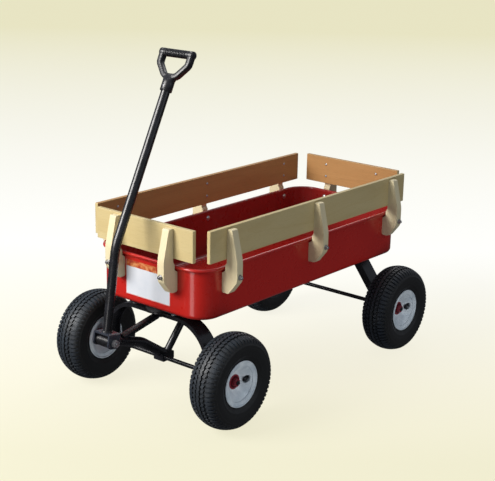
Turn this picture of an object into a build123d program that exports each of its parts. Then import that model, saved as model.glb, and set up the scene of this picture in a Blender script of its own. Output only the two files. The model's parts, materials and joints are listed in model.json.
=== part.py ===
from build123d import *
from math import cos, hypot, radians, sin
import os

# Garden cart: a steel tray with timber stake sides, on a fixed rear arch and a steering front
# truck, with four pneumatic wheels and a fold-down pull handle.
# Millimetres. X is across the cart, +Y is towards the rear, Z is up and the ground is Z = 0.
# The origin is on the ground, under the centre of the cart's overall length and width.

# ---------------------------------------------------------------- driving dimensions
TRAY_Y = 56.0            # centre of the tray from the origin
TRAY_WALL_X = 193.0      # outer face of the long walls from the centre plane
TRAY_WALL_Y = 451.5      # outer face of the end walls from the tray's centre
TRAY_CORNER_R = 62.0     # plan radius of the wall corners
TRAY_BOTTOM_Z = 280.0
TRAY_RIM_Z = 421.0       # top of the rolled rim
TRAY_SHEET = 1.5
TRAY_FLOOR_R = 13.0      # bend between floor and walls
RIM_ROLL_R = 4.5         # rolled edge, outside radius
RIM_ROLL_BORE = 3.2

BOARD_T = 12.0
BOARD_H = 84.5
BOARD_Z = 442.0          # lower edge of the boards
BOARD_STANDOFF = 15.5    # outer face of a board from the tray wall's outer face
SIDE_BOARD_L = 883.0
END_BOARD_L = 347.0

STAKE_W = 22.0
SIDE_STAKE_Y = (-366.5, 0.0, 366.5)   # stake positions along a long wall, from the tray centre
END_STAKE_X = (-95.0, 95.0)
STAKE_BOLT_Z = 398.0
STAKE_BOLT_DEPTH = 50.6  # outer face of a stake at its bolt, from the tray wall's outer face
BOARD_SCREW_Z = (465.0, 503.0)

AXLE_Z = 129.0
AXLE_R = 6.0
FRONT_AXLE_Y = TRAY_Y - 403.0
REAR_AXLE_Y = TRAY_Y + 361.0
TRACK_HALF = 250.0       # centre plane of a tyre from the centre plane of the cart

TYRE_R = 129.0
TYRE_W = 88.0
LIP_R = 61.0             # rim flange
LIP_X = 35.0             # rim flange plane from the tyre's centre plane
HUB_R = 20.0
HUB_OUT = 13.0           # outboard end of the hub from the tyre's centre plane
HUB_IN = 57.7            # inboard end of the hub, the same way
RUNNING = 0.04           # radial clearance of every turning fit
END_FLOAT = 0.3          # side clearance of every turning part

ARCH_TOP_Z = 265.0
ARCH_LEG_X = 190.0       # outer face of an arch leg
ARCH_FOOT_Z = 110.0
ARCH_W = 46.0
ARCH_T = 3.0
FRONT_FLANGE = 11.0
REAR_FLANGE = 24.0

PIVOT_Y = TRAY_Y - 603.5  # handle pivot at the tip of the tongue
PIVOT_Z = 230.0
PIVOT_BOLT_R = 5.0
FORK_HALF = 29.0
FORK_T = 5.0
FORK_W = 40.0
LOWER_LEAN = 8.6         # backward lean of the handle's lower run, degrees from vertical
UPPER_LEAN = 26.0        # the same for its upper run
LOWER_RUN = 244.0        # pivot to the bend
UPPER_RUN = 442.0        # bend to the end of the tube
HANDLE_R = 12.0
HANDLE_BORE = 10.0
GRIP_HALF = 57.0         # half the overall width of the grip
GRIP_BAR_R = 11.0
GRIP_BAR_AT = 520.0      # bend to the centre of the grip bar
GRIP_SCREW_AT = UPPER_RUN - 12.0

KINGPIN_R = 8.0
PLATE_T = 4.0
BOLT_CLEAR = 0.25        # radial clearance of a clamped bolt in its hole

os.makedirs("parts", exist_ok=True)


# ---------------------------------------------------------------- helpers
def save(shape, node):
    export_step(shape, f"parts/{node}.step")


def group(solids):
    """Separate solids kept in one node."""
    return Compound(children=[s for item in solids for s in item.solids()])


def largest(shape):
    """The main solid of a cut shape, without the slugs that the cuts leave."""
    return shape.solids().sort_by(SortBy.VOLUME)[-1]


def rod(start, end, radius, bore=0.0):
    """A straight round bar or tube between two points."""
    start, end = Vector(*start), Vector(*end)
    base = Plane(origin=start, z_dir=end - start)
    section = Circle(radius) - Circle(bore) if bore else Circle(radius)
    return extrude(base * section, (end - start).length)


def block(low, high):
    """A box between two corners."""
    size = [b - a for a, b in zip(low, high)]
    centre = [(a + b) / 2 for a, b in zip(low, high)]
    return Pos(*centre) * Box(*size)


def hexagon(start, end, flats, bore=0.0):
    """A hexagonal bar between two points, with a round bore if wanted."""
    start, end = Vector(*start), Vector(*end)
    base = Plane(origin=start, z_dir=end - start)
    section = RegularPolygon(flats / 2, 6, major_radius=False)
    if bore:
        section -= Circle(bore)
    return extrude(base * section, (end - start).length)


def dome(start, end, radius):
    """A low round head whose flat side is at start and whose crown is at end."""
    start, end = Vector(*start), Vector(*end)
    height = (end - start).length
    ball_r = (radius ** 2 + height ** 2) / (2 * height)
    base = Plane(origin=start, z_dir=end - start)
    ball = base * (Pos(0, 0, height - ball_r) * Sphere(ball_r))
    return ball & rod(start, end, radius)


def pan(half_x, half_y, corner, low, high, floor_r):
    """A solid rounded-rectangle block with a rounded lower edge, centred on the tray."""
    outline = Plane((0, TRAY_Y, low)) * RectangleRounded(2 * half_x, 2 * half_y, corner)
    body = extrude(outline, high - low)
    return fillet(body.edges().group_by(Axis.Z)[0], floor_r)


# ---------------------------------------------------------------- tray
ROLL_CENTRE = RIM_ROLL_R - 0.45   # centre of the rolled edge outside the wall's outer face
ROLL_Z = TRAY_RIM_Z - RIM_ROLL_R
TRAY_BOLT_R = 4.0
REAR_BOLT_X = 62.0
REAR_BOLT_DY = 13.0
TURN_BOLTS = ((-72, -24), (72, -24), (-72, 28), (72, 28))   # upper plate bolts from the kingpin
REAR_BOLTS = [(sx * REAR_BOLT_X, sy * REAR_BOLT_DY) for sx in (-1, 1) for sy in (-1, 1)]
FLOOR_TOP_Z = TRAY_BOTTOM_Z + TRAY_SHEET


def floor_bolt_places():
    front = [(x, FRONT_AXLE_Y + dy) for x, dy in TURN_BOLTS]
    rear = [(x, REAR_AXLE_Y + dy) for x, dy in REAR_BOLTS]
    return front, rear


def stake_places():
    """Name, wall point and outward direction (degrees from +X) of every stake."""
    places = []
    for side, sign in (("right", 1), ("left", -1)):
        for spot, y in zip(("front", "mid", "rear"), SIDE_STAKE_Y):
            turn = 0 if sign > 0 else 180
            places.append((f"stake_{side}_{spot}", (sign * TRAY_WALL_X, TRAY_Y + y), turn))
    for end, sign in (("front", -1), ("rear", 1)):
        for side, x in zip(("left", "right"), END_STAKE_X):
            places.append((f"stake_{end}_{side}", (x, TRAY_Y + sign * TRAY_WALL_Y), 90 * sign))
    return places


def against_wall(wall_point, direction, shape):
    """Places a shape drawn outward along +X from the wall plane X = 0."""
    return Pos(wall_point[0], wall_point[1], 0) * (Rot(0, 0, direction) * shape)


def build_tray():
    outer = pan(TRAY_WALL_X, TRAY_WALL_Y, TRAY_CORNER_R, TRAY_BOTTOM_Z, ROLL_Z, TRAY_FLOOR_R)
    inner = pan(TRAY_WALL_X - TRAY_SHEET, TRAY_WALL_Y - TRAY_SHEET, TRAY_CORNER_R - TRAY_SHEET,
                FLOOR_TOP_Z, ROLL_Z + 1, TRAY_FLOOR_R - TRAY_SHEET)
    path_face = Plane((0, TRAY_Y, ROLL_Z)) * RectangleRounded(
        2 * (TRAY_WALL_X + ROLL_CENTRE), 2 * (TRAY_WALL_Y + ROLL_CENTRE), TRAY_CORNER_R + ROLL_CENTRE)
    path = path_face.face().outer_wire()
    section_plane = Plane(origin=path @ 0, z_dir=path % 0)
    ring = section_plane * (Circle(RIM_ROLL_R) - Circle(RIM_ROLL_BORE))
    roll = sweep(ring, path=path, transition=Transition.ROUND)
    tray = (outer - inner) + roll
    for places in floor_bolt_places():
        for x, y in places:
            tray -= rod((x, y, TRAY_BOTTOM_Z - 1), (x, y, FLOOR_TOP_Z + 1), TRAY_BOLT_R + BOLT_CLEAR)
    tray -= rod((0, FRONT_AXLE_Y, TRAY_BOTTOM_Z - 1), (0, FRONT_AXLE_Y, FLOOR_TOP_Z + 1),
                KINGPIN_R + BOLT_CLEAR)
    for _, wall_point, direction in stake_places():
        hole = rod((-TRAY_SHEET - 1, 0, STAKE_BOLT_Z), (1, 0, STAKE_BOLT_Z), STAKE_BOLT_R + BOLT_CLEAR)
        tray -= against_wall(wall_point, direction, hole)
    return tray


# ---------------------------------------------------------------- boards, stakes and their fasteners
STAKE_BOLT_R = 3.0
SCREW_R = 2.0
SCREW_HEAD_R = 4.2
SCREW_IN_STAKE = 12.0    # how far a board screw reaches into its stake


def build_stake():
    """Outline in the plane of the stake's depth (x outward from the wall) and height."""
    rest = BOARD_STANDOFF
    deep = STAKE_BOLT_DEPTH
    corners = [(0, 350), (0, 403), (10.5, 410.5), (10.5, 424), (rest, 432), (rest, 521),
               (rest + 16, 521), (deep, 440), (deep, 386), (22, 350)]
    radii = {(0, 350): 5, (rest, 521): 2, (rest + 16, 521): 4,
             (deep, 440): 90, (deep, 386): 24, (22, 350): 9}
    sketch = make_face(Polyline(*corners, close=True))
    for corner, radius in radii.items():
        spot = Vector(corner[0], corner[1], 0)
        sketch = fillet(sketch.vertices().sort_by_distance(spot)[0], radius)
    body = extrude(Plane.XZ.offset(-STAKE_W / 2) * sketch, STAKE_W)
    body -= rod((-1, 0, STAKE_BOLT_Z), (60, 0, STAKE_BOLT_Z), STAKE_BOLT_R + BOLT_CLEAR)
    for z in BOARD_SCREW_Z:
        body -= rod((rest - 1, 0, z), (rest + SCREW_IN_STAKE, 0, z), SCREW_R)
    return body


def build_board(length):
    """A board lying along X with its outer face on Y = 0, standing on Z = 0."""
    board = block((-length / 2, 0, 0), (length / 2, BOARD_T, BOARD_H))
    board = fillet(board.edges().filter_by(Axis.Z), 3)
    return fillet(board.edges().group_by(Axis.Z)[-1] + board.edges().group_by(Axis.Z)[0], 1.2)


def screw_hole(z):
    """The hole of one board screw, drawn outward from the wall plane."""
    inside = BOARD_STANDOFF - BOARD_T
    return rod((inside - 1, 0, z), (BOARD_STANDOFF + 1, 0, z), SCREW_R)


def board_screw(z):
    """A round-head wood screw that holds a board to a stake from inside the tray."""
    inside = BOARD_STANDOFF - BOARD_T
    shank = rod((inside, 0, z), (BOARD_STANDOFF + SCREW_IN_STAKE, 0, z), SCREW_R)
    return shank + dome((inside, 0, z), (inside - 2.2, 0, z), SCREW_HEAD_R)


def stake_bolt():
    """A carriage bolt from inside the tray wall, with its washer and nut outside the stake."""
    z = STAKE_BOLT_Z
    end = STAKE_BOLT_DEPTH
    shank = rod((-TRAY_SHEET, 0, z), (end + 9.5, 0, z), STAKE_BOLT_R)
    bolt = shank + dome((-TRAY_SHEET, 0, z), (-TRAY_SHEET - 3.4, 0, z), 7.5)
    washer = rod((end, 0, z), (end + 1.4, 0, z), 7.0, STAKE_BOLT_R)
    nut = hexagon((end + 1.4, 0, z), (end + 6.6, 0, z), 10.0, STAKE_BOLT_R)
    return [bolt, washer, nut]


# ---------------------------------------------------------------- arches and axles
def arch_band(corners, radius, inset_from, inset_to, width, axle_y):
    """A strip that follows the arch, between two depths below its outer surface."""
    outline = []
    for inset in (inset_from, inset_to):
        run = arch_line(corners, radius, inset)
        outline.append(run)
    outer, inner = outline
    ends = [Line(outer @ 1, inner @ 1), Line(inner @ 0, outer @ 0)]
    face = make_face(Wire([*outer.edges(), *inner.edges(), *ends]))
    return extrude(Pos(0, axle_y + width / 2, 0) * face, width, dir=(0, -1, 0))


def arch_line(corners, radii, inset):
    """The arch's centre-symmetric outline, moved inward by inset, as one wire in the XZ plane."""
    pts = inset_points(corners, inset)
    full = [(-x, 0, z) for x, z in reversed(pts[1:])] + [(x, 0, z) for x, z in pts[1:]]
    turns = [max(r - inset, 1.0) for r in radii]
    return FilletPolyline(*full, radius=list(reversed(turns)) + turns)


def inset_points(corners, inset):
    """Corners of an open run of straight lines, moved to its inner side by inset."""
    moved = []
    last = len(corners) - 1
    for i, (x, z) in enumerate(corners):
        before = corners[i - 1] if i > 0 else None
        after = corners[i + 1] if i < last else None
        normals = []
        for a, b in ((before, (x, z)), ((x, z), after)):
            if a is None or b is None:
                continue
            run = hypot(b[0] - a[0], b[1] - a[1])
            normals.append(((b[1] - a[1]) / run, -(b[0] - a[0]) / run))
        if len(normals) == 1:
            nx, nz = normals[0]
            moved.append((x + nx * inset, z + nz * inset))
            continue
        (ax, az), (bx, bz) = normals
        scale = inset / (1 + ax * bx + az * bz)
        moved.append((x + (ax + bx) * scale, z + (az + bz) * scale))
    return moved


def build_arch(corners, radii, flange, axle_y):
    web = arch_band(corners, radii, 0, ARCH_T, ARCH_W, axle_y)
    shell = arch_band(corners, radii, 0, flange, ARCH_W, axle_y)
    hollow = arch_band(corners, radii, ARCH_T, flange + 2, ARCH_W - 2 * ARCH_T, axle_y)
    arch = (shell - hollow) + web
    axle = rod((-300, axle_y, AXLE_Z), (300, axle_y, AXLE_Z), AXLE_R + 0.05)
    return arch - axle


FRONT_ARCH = [(0, ARCH_TOP_Z), (ARCH_LEG_X, ARCH_TOP_Z), (ARCH_LEG_X, ARCH_FOOT_Z)]
FRONT_ARCH_R = [110.0]
REAR_ARCH = [(0, ARCH_TOP_Z), (122, ARCH_TOP_Z), (ARCH_LEG_X, 176), (ARCH_LEG_X, ARCH_FOOT_Z)]
REAR_ARCH_R = [34.0, 34.0]

AXLE_WASHER = 2.0
NUT_X = TRACK_HALF + HUB_OUT + END_FLOAT + AXLE_WASHER
AXLE_NUT_H = 8.0
AXLE_END_X = NUT_X + AXLE_NUT_H + 3.0


def build_axle(axle_y):
    bar = rod((-AXLE_END_X, axle_y, AXLE_Z), (AXLE_END_X, axle_y, AXLE_Z), AXLE_R)
    return chamfer(bar.edges().filter_by(GeomType.CIRCLE), 1.0)


def build_axle_nuts(axle_y):
    """An inner washer, an outer washer and a lock nut on each end of an axle."""
    parts = []
    for sign in (-1, 1):
        def at(x):
            return (sign * x, axle_y, AXLE_Z)
        parts.append(rod(at(ARCH_LEG_X), at(ARCH_LEG_X + AXLE_WASHER), 12.0, AXLE_R))
        parts.append(rod(at(NUT_X - AXLE_WASHER), at(NUT_X), 11.0, AXLE_R))
        parts.append(hexagon(at(NUT_X), at(NUT_X + AXLE_NUT_H), 18.0, AXLE_R))
    return group(parts)


# ---------------------------------------------------------------- wheels
# Drawn with the axle along X and the outboard side at +X, centred on the tyre's centre plane.
BARREL_R = 51.0          # tyre seat
BARREL_T = 2.2
WELL_R = 45.0            # drop centre
VALVE_AT = 36.0
BEARING_R = 16.0
BEARING_W = 10.0


def revolved(outline):
    """A solid turned about the wheel's axle from an outline of (along axle, radius)."""
    return revolve(outline, axis=Axis.X, revolution_arc=360)


def build_tyre():
    crown = ThreePointArc((-34.5, 120.2), (0, TYRE_R), (34.5, 120.2))
    right = Spline((34.5, 120.2), (42.5, 108.5), (TYRE_W / 2, 94), (41.0, 77.5), (32.0, 62.5))
    left = mirror(right, about=Plane.YZ)
    bead_low = Polyline((32.0, 62.5), (30.4, 52.4), (21.0, 52.4), (25.0, 62))
    bead_left = mirror(bead_low, about=Plane.YZ)
    inner_right = Spline((25.0, 62), (34.0, 77.5), (37.5, 94), (34.8, 105.5), (28, 114))
    inner_left = mirror(inner_right, about=Plane.YZ)
    inner_crown = ThreePointArc((-28, 114), (0, 121.5), (28, 114))
    edges = [crown, right, left, bead_low, bead_left, inner_right, inner_left, inner_crown]
    outline = make_face(Wire([e for piece in edges for e in piece.edges()]))
    return revolved(outline)


def build_inner_tube():
    """A hollow ring filling the tyre, with its valve stem reaching in through the rim."""
    mid_r = 87.0
    outer = Pos(0, mid_r) * Ellipse(33.0, 31.0)
    inner = Pos(0, mid_r) * Ellipse(31.0, 29.0)
    ring = revolved(outer - inner)
    stem = rod((12, 59.2, 0), (20, 33, 0), 4.2)
    return ring + stem


def build_rim():
    """Rolled barrel with lips, two dished discs and the collars that hold the hub."""
    t = BARREL_T
    seat = 31.8
    outer = [(-LIP_X, LIP_R), (-LIP_X + 2.6, LIP_R), (-seat, 56), (-seat + 1, BARREL_R), (-16, BARREL_R),
             (-10, WELL_R), (10, WELL_R), (16, BARREL_R), (seat - 1, BARREL_R), (seat, 56),
             (LIP_X - 2.6, LIP_R), (LIP_X, LIP_R)]
    inner = [(LIP_X, LIP_R - 2), (seat + 2.2, 54), (seat + 1, BARREL_R - t), (17, BARREL_R - t),
             (11, WELL_R - t), (-11, WELL_R - t), (-17, BARREL_R - t), (-seat - 1, BARREL_R - t),
             (-seat - 2.2, 54), (-LIP_X, LIP_R - 2)]
    barrel = revolved(make_face(Polyline(*outer, *inner, close=True)))
    dish = make_face(Wire([
        *Spline((30.5, 50), (26, 41), (17.5, 31), (11.2, 22.2)).edges(),
        *Polyline((11.2, 22.2), (11.2, HUB_R), (3.0, HUB_R), (3.0, 22.0), (8.6, 22.6)).edges(),
        *Spline((8.6, 22.6), (15.3, 32), (23.8, 42.5), (27.3, 50)).edges(),
        *Line((27.3, 50), (30.5, 50)).edges(),
    ]))
    outer_disc = revolved(dish)
    window_plane = Plane(origin=(0, VALVE_AT, 0), z_dir=(1, 0, 0))
    window = extrude(window_plane * (Rot(0, 0, -22) * Ellipse(8.0, 11.5)), 60)
    outer_disc -= window
    inner_disc = revolved(mirror(dish, about=Plane.YZ))
    rim = barrel + outer_disc + inner_disc
    return rim - rod((12, 57.5, 0), (20, 33, 0), 4.6)


def build_hub():
    outline = Polyline(
        (-HUB_IN, BEARING_R), (-HUB_IN, HUB_R - 0.8), (-HUB_IN + 0.8, HUB_R), (HUB_OUT - 0.8, HUB_R),
        (HUB_OUT, HUB_R - 0.8), (HUB_OUT, BEARING_R), (HUB_OUT - BEARING_W, BEARING_R),
        (HUB_OUT - BEARING_W, 13.5), (-HUB_IN + BEARING_W, 13.5),
        (-HUB_IN + BEARING_W, BEARING_R), close=True)
    return revolved(make_face(outline))


def build_bearings():
    """Two sealed ball bearings, each as one ring pressed into an end of the hub."""
    rings = []
    for start in (-HUB_IN, HUB_OUT - BEARING_W):
        ring = rod((start, 0, 0), (start + BEARING_W, 0, 0), BEARING_R, AXLE_R + RUNNING)
        rings.append(ring)
    return group(rings)


def place_wheel(shape, sign, axle_y):
    """Left wheels are the same part as right wheels, turned round so the dish faces out."""
    turned = Rot(0, 0, 0 if sign > 0 else 180) * shape
    return Pos(sign * TRACK_HALF, axle_y, AXLE_Z) * turned


# ---------------------------------------------------------------- turntable and drawbar
UPPER_PLATE_Z = TRAY_BOTTOM_Z - PLATE_T
LOWER_PLATE_TOP = ARCH_TOP_Z + PLATE_T
TAIL_REACH = 158.0       # tail of the lower plate behind the kingpin
TAIL_HALF = 17.0
TONGUE_R = 13.0
STRUT_R = 10.0
BRACE_R = 10.0


def build_upper_plate():
    plate = block((-88, FRONT_AXLE_Y - 35, UPPER_PLATE_Z), (88, FRONT_AXLE_Y + 50, TRAY_BOTTOM_Z))
    plate = fillet(plate.edges().filter_by(Axis.Z), 12)
    plate -= rod((0, FRONT_AXLE_Y, 200), (0, FRONT_AXLE_Y, 300), KINGPIN_R + BOLT_CLEAR)
    for x, dy in TURN_BOLTS:
        y = FRONT_AXLE_Y + dy
        plate -= rod((x, y, 200), (x, y, 300), TRAY_BOLT_R + BOLT_CLEAR)
    return plate


def build_lower_plate():
    """A round rubbing plate with a tail that the rear brace is welded to."""
    disc = rod((0, FRONT_AXLE_Y, ARCH_TOP_Z), (0, FRONT_AXLE_Y, LOWER_PLATE_TOP), 46)
    tail_end = FRONT_AXLE_Y + TAIL_REACH - TAIL_HALF
    tail = block((-TAIL_HALF, FRONT_AXLE_Y, ARCH_TOP_Z), (TAIL_HALF, tail_end, LOWER_PLATE_TOP))
    tip = rod((0, tail_end, ARCH_TOP_Z), (0, tail_end, LOWER_PLATE_TOP), TAIL_HALF)
    return disc + tail + tip - rod((0, FRONT_AXLE_Y, 200), (0, FRONT_AXLE_Y, 300), KINGPIN_R + RUNNING)


def build_turntable_washer():
    low = (0, FRONT_AXLE_Y, LOWER_PLATE_TOP)
    high = (0, FRONT_AXLE_Y, UPPER_PLATE_Z - 0.2)
    return rod(low, high, 40, KINGPIN_R + RUNNING)


def build_kingpin():
    """The steering bolt, its nut and the washer under the front arch."""
    def at(z):
        return (0, FRONT_AXLE_Y, z)
    web_z = ARCH_TOP_Z - ARCH_T
    bolt = rod(at(web_z - 19), at(FLOOR_TOP_Z), KINGPIN_R)
    bolt += dome(at(FLOOR_TOP_Z), at(FLOOR_TOP_Z + 5.5), 16)
    washer = rod(at(web_z - 2.8), at(web_z - 0.3), 14, KINGPIN_R)
    nut = hexagon(at(web_z - 15.8), at(web_z - 2.8), 24, KINGPIN_R)
    return group([bolt, washer, nut])


def build_floor_bolts():
    """Bolts that fix the upper turntable plate and the rear mounting pad under the tray."""
    front, rear = floor_bolt_places()
    parts = []
    for places, joint_z, nut_h in ((front, UPPER_PLATE_Z, 6.0), (rear, ARCH_TOP_Z - ARCH_T, 6.5)):
        for x, y in places:
            bolt = rod((x, y, joint_z - nut_h - 0.8), (x, y, FLOOR_TOP_Z), TRAY_BOLT_R)
            parts.append(bolt + dome((x, y, FLOOR_TOP_Z), (x, y, FLOOR_TOP_Z + 4), 9))
            parts.append(hexagon((x, y, joint_z - nut_h), (x, y, joint_z), 13, TRAY_BOLT_R))
    return group(parts)


def build_rear_pad():
    """The folded channel that packs the rear arch down from the tray floor."""
    half_x, half_y = 96.0, 21.0
    pad = block((-half_x, REAR_AXLE_Y - half_y, ARCH_TOP_Z), (half_x, REAR_AXLE_Y + half_y, TRAY_BOTTOM_Z))
    hollow = block((-half_x - 1, REAR_AXLE_Y - half_y + 3, ARCH_TOP_Z + 3),
                   (half_x + 1, REAR_AXLE_Y + half_y - 3, 279))
    return pad - hollow


TONGUE_TURN = (TRAY_Y - 478, 192.0)      # bend of the tongue, (y, z)
TONGUE_END = (TRAY_Y - 387, 130.5)
BRACKET_LOW = (-17.0, TRAY_Y - 413.0, 118.0)
BRACKET_HIGH = (17.0, TRAY_Y - 369.0, 141.0)
PINCH_BOLT_Y = TRAY_Y - 380.0
PINCH_BOLT_X = 12.0
PINCH_BOLT_R = 3.0


def build_axle_bracket():
    """The clamp around the axle's middle that carries the tongue and the rear brace."""
    body = block(BRACKET_LOW, BRACKET_HIGH)
    body = fillet(body.edges().filter_by(Axis.X), 4)
    body -= rod((-40, FRONT_AXLE_Y, AXLE_Z), (40, FRONT_AXLE_Y, AXLE_Z), AXLE_R)
    for x in (-PINCH_BOLT_X, PINCH_BOLT_X):
        body -= rod((x, PINCH_BOLT_Y, 100), (x, PINCH_BOLT_Y, 136), PINCH_BOLT_R)
    return body


def build_bracket_bolts():
    """Two hexagon bolts driven up into the clamp behind the axle."""
    low = BRACKET_LOW[2]
    bolts = []
    for x in (-PINCH_BOLT_X, PINCH_BOLT_X):
        shank = rod((x, PINCH_BOLT_Y, low), (x, PINCH_BOLT_Y, 134), PINCH_BOLT_R)
        bolts.append(shank + hexagon((x, PINCH_BOLT_Y, low - 5.5), (x, PINCH_BOLT_Y, low), 10))
    return group(bolts)


def build_tongue(bracket, axle):
    """The bent main tube of the drawbar, with the eye that carries the handle."""
    start = (0, PIVOT_Y, PIVOT_Z)
    path = FilletPolyline(start, (0, *TONGUE_TURN), (0, *TONGUE_END), radius=85)
    plane = Plane(origin=path @ 0, z_dir=path % 0)
    tube = sweep(plane * Circle(TONGUE_R), path=path)
    bore = sweep(plane * Circle(TONGUE_R - 2.5), path=path)
    eye_half = FORK_HALF - FORK_T - END_FLOAT
    eye = rod((-eye_half, PIVOT_Y, PIVOT_Z), (eye_half, PIVOT_Y, PIVOT_Z), 16)
    hole = rod((-60, PIVOT_Y, PIVOT_Z), (60, PIVOT_Y, PIVOT_Z), PIVOT_BOLT_R + RUNNING)
    tongue = (tube - bore) + eye + build_stop() - hole - bracket - axle
    return largest(tongue)


def lean_frame(lean, y, z):
    """A frame at (0, y, z) whose Z leans back from vertical by lean degrees."""
    return Location((0, y, z), (-lean, 0, 0))


FORK_INSIDE = 19.5       # pivot to the underside of the fork's crown


def build_stop():
    """A lug on the tongue's eye, square to the handle, that the fork's crown rests on."""
    top = FORK_INSIDE - END_FLOAT
    lug = block((-13, 9, 2), (13, 19, top))
    return lean_frame(LOWER_LEAN, PIVOT_Y, PIVOT_Z) * lug


def build_upper_strut(cutters):
    tube = rod((0, TRAY_Y - 405, 252.6), (0, TRAY_Y - 548, 224.3), STRUT_R, STRUT_R - 2)
    for cutter in cutters:
        tube -= cutter
    return largest(tube)


def build_rear_brace(bracket, tongue):
    low = (0, TRAY_Y - 379, 136.0)
    high = (0, FRONT_AXLE_Y + TAIL_REACH - 14, ARCH_TOP_Z + 14)
    tube = rod(low, high, BRACE_R, BRACE_R - 2)
    return largest(tube - block((-40, -500, ARCH_TOP_Z), (40, 200, ARCH_TOP_Z + 60)) - bracket - tongue)


# ---------------------------------------------------------------- handle
SCREW_SEAT = 14.6        # depth of the grip screw's seat from the tube's axis


def bend_point():
    """Where the handle's lower and upper runs meet, (y, z)."""
    lean = radians(LOWER_LEAN)
    return PIVOT_Y + LOWER_RUN * sin(lean), PIVOT_Z + LOWER_RUN * cos(lean)


def along_upper(distance):
    """A point on the handle's upper run, that far above the bend."""
    y, z = bend_point()
    lean = radians(UPPER_LEAN)
    return (0, y + distance * sin(lean), z + distance * cos(lean))


def build_fork():
    """A U of flat bar: a crown under the tube and two cheeks with round ends."""
    crown_top = FORK_INSIDE + FORK_T
    drop = 15.0
    outer = block((-FORK_HALF, -FORK_W / 2, -drop), (FORK_HALF, FORK_W / 2, crown_top))
    outer = fillet(outer.edges().filter_by(Axis.Y).group_by(Axis.Z)[-1], 6)
    inside = FORK_HALF - FORK_T
    gap = block((-inside, -FORK_W, -drop - 1), (inside, FORK_W, FORK_INSIDE))
    gap = fillet(gap.edges().filter_by(Axis.Y).group_by(Axis.Z)[-1], 2)
    fork = outer - gap
    lower = fork.edges().filter_by(Axis.X).group_by(Axis.Z)[0]
    fork = fillet(lower, 12)
    fork -= rod((-60, 0, 0), (60, 0, 0), PIVOT_BOLT_R)
    return lean_frame(LOWER_LEAN, PIVOT_Y, PIVOT_Z) * fork


def build_handle_tube():
    lean = radians(LOWER_LEAN)
    crown_top = FORK_INSIDE + FORK_T
    start = (0, PIVOT_Y + crown_top * sin(lean), PIVOT_Z + crown_top * cos(lean))
    bend = (0, *bend_point())
    path = FilletPolyline(start, bend, along_upper(UPPER_RUN), radius=150)
    plane = Plane(origin=path @ 0, z_dir=path % 0)
    return sweep(plane * (Circle(HANDLE_R) - Circle(HANDLE_BORE)), path=path)


def build_grip():
    """A moulded D-grip, drawn upright in X and Z from the end of the tube, then leaned back."""
    collar_low, collar_high = UPPER_RUN - 24.0, UPPER_RUN + 8.0
    bar = GRIP_BAR_AT
    half_bar = GRIP_HALF + 1.0
    collar = rod((0, 0, collar_low), (0, 0, collar_high), 16.0)
    collar = chamfer(collar.edges().filter_by(GeomType.CIRCLE).group_by(Axis.Z)[0], 2)
    handle = rod((-half_bar, 0, bar), (half_bar, 0, bar), GRIP_BAR_R)
    outline = Polyline((-9, collar_low + 16), (9, collar_low + 16), (27, collar_high + 3),
                       (GRIP_HALF, bar - 30), (GRIP_HALF, bar + 8), (-GRIP_HALF, bar + 8),
                       (-GRIP_HALF, bar - 30), (-27, collar_high + 3), close=True)
    window = Polyline((-18, collar_high + 15), (18, collar_high + 15), (41, bar - 29),
                      (41, bar + 30), (-41, bar + 30), (-41, bar - 29), close=True)
    face = make_face(outline) - make_face(window)
    yoke = extrude(Plane.XZ.offset(-9.5) * face, 19)
    yoke = fillet(yoke.edges().filter_by(Axis.Y), 5)
    grip = yoke + handle + collar
    grip -= rod((0, 0, collar_low - 1), (0, 0, UPPER_RUN), HANDLE_R)
    grip -= rod((0, -30, GRIP_SCREW_AT), (0, -HANDLE_R + 1, GRIP_SCREW_AT), 2.0)
    grip -= rod((0, -30, GRIP_SCREW_AT), (0, -SCREW_SEAT, GRIP_SCREW_AT), 4.4)
    y, z = bend_point()
    return lean_frame(UPPER_LEAN, y, z) * grip


def build_grip_screw():
    shank = rod((0, -SCREW_SEAT, GRIP_SCREW_AT), (0, -HANDLE_R - 0.2, GRIP_SCREW_AT), 2.0)
    screw = shank + dome((0, -SCREW_SEAT, GRIP_SCREW_AT), (0, -SCREW_SEAT - 2.2, GRIP_SCREW_AT), 4)
    y, z = bend_point()
    return lean_frame(UPPER_LEAN, y, z) * screw


def build_pivot_bolt():
    """A hexagon bolt through the fork and the tongue's eye, with washers and a lock nut."""
    def at(x):
        return (x, PIVOT_Y, PIVOT_Z)
    side = FORK_HALF
    shank = rod(at(-side - 1.6), at(side + 13), PIVOT_BOLT_R)
    head = hexagon(at(-side - 1.6), at(-side - 8.2), 17)
    washers = [rod(at(sign * side), at(sign * (side + 1.6)), 10, PIVOT_BOLT_R) for sign in (-1, 1)]
    nut = hexagon(at(side + 1.6), at(side + 10.6), 17, PIVOT_BOLT_R)
    return group([shank + head, *washers, nut])


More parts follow.
